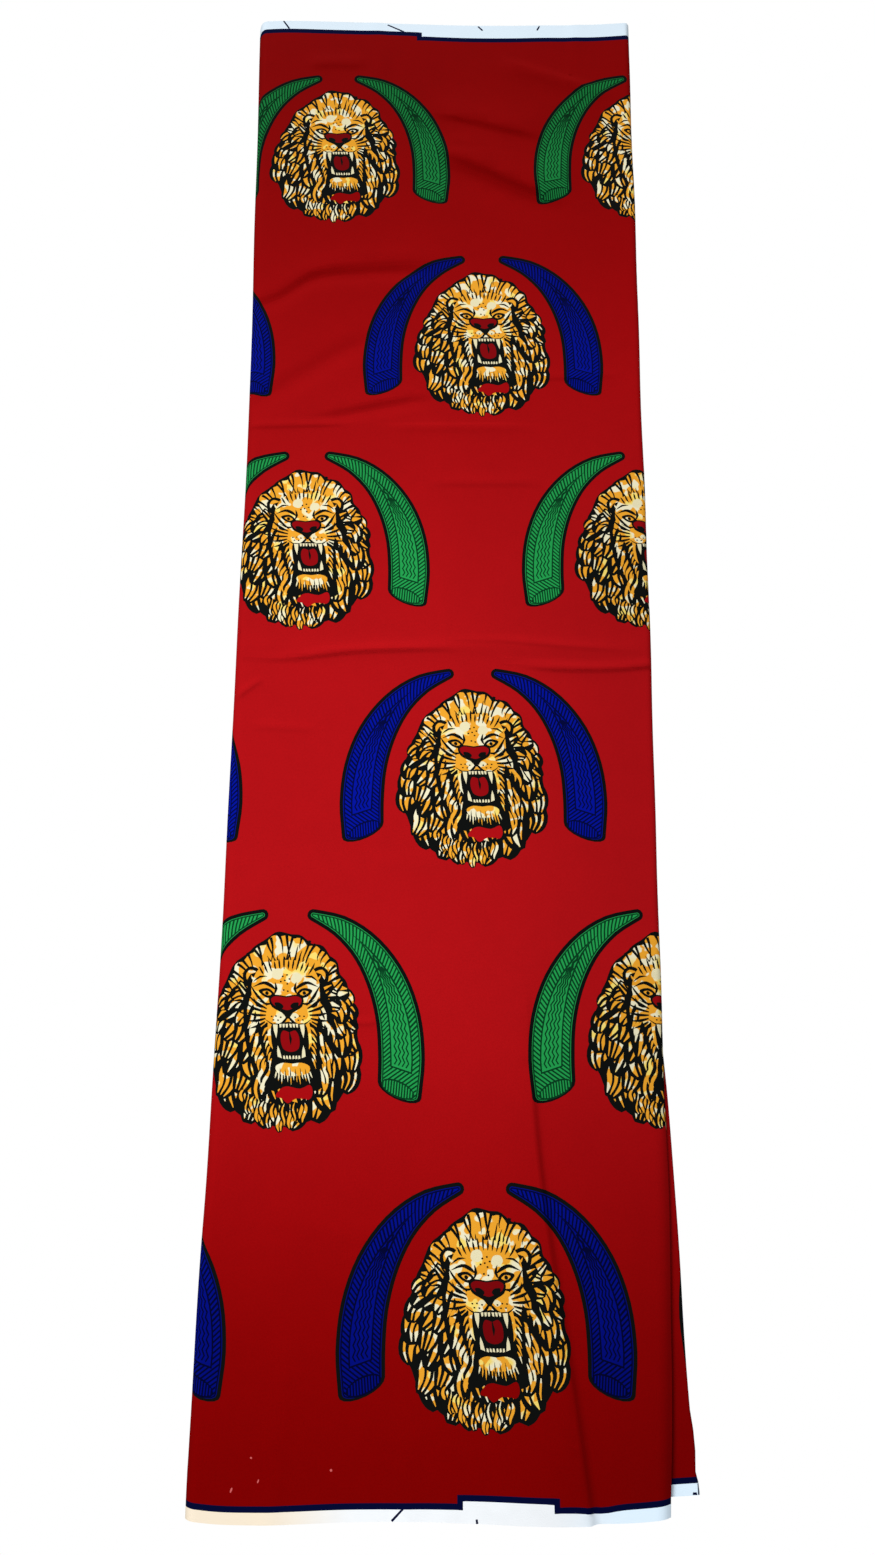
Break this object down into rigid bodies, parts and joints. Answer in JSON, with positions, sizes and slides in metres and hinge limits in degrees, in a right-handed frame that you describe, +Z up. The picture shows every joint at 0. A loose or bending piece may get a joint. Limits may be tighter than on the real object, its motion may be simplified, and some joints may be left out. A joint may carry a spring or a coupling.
{
  "type": "folded ankara fabric",
  "caption": "Length of red wax-printed cotton with lion heads and tusks, folded flat into a long narrow stack with both selvedges showing.",
  "frame": {"origin": "middle of the flat underside, on the table", "axes": "+X from the folded spine to the open side, +Y from the near selvedge to the far one, +Z up"},
  "size_m": [0.328, 1.1702, 0.017],
  "materials": {
    "printed_cotton": "plain-woven cotton, red wax-print ground with orange, green, blue and black motifs, low sheen"
  },
  "bodies": {
    "root": {"top_panel": "printed_cotton", "lower_panel": "printed_cotton", "folded_layers": "printed_cotton"}
  },
  "joints": []
}
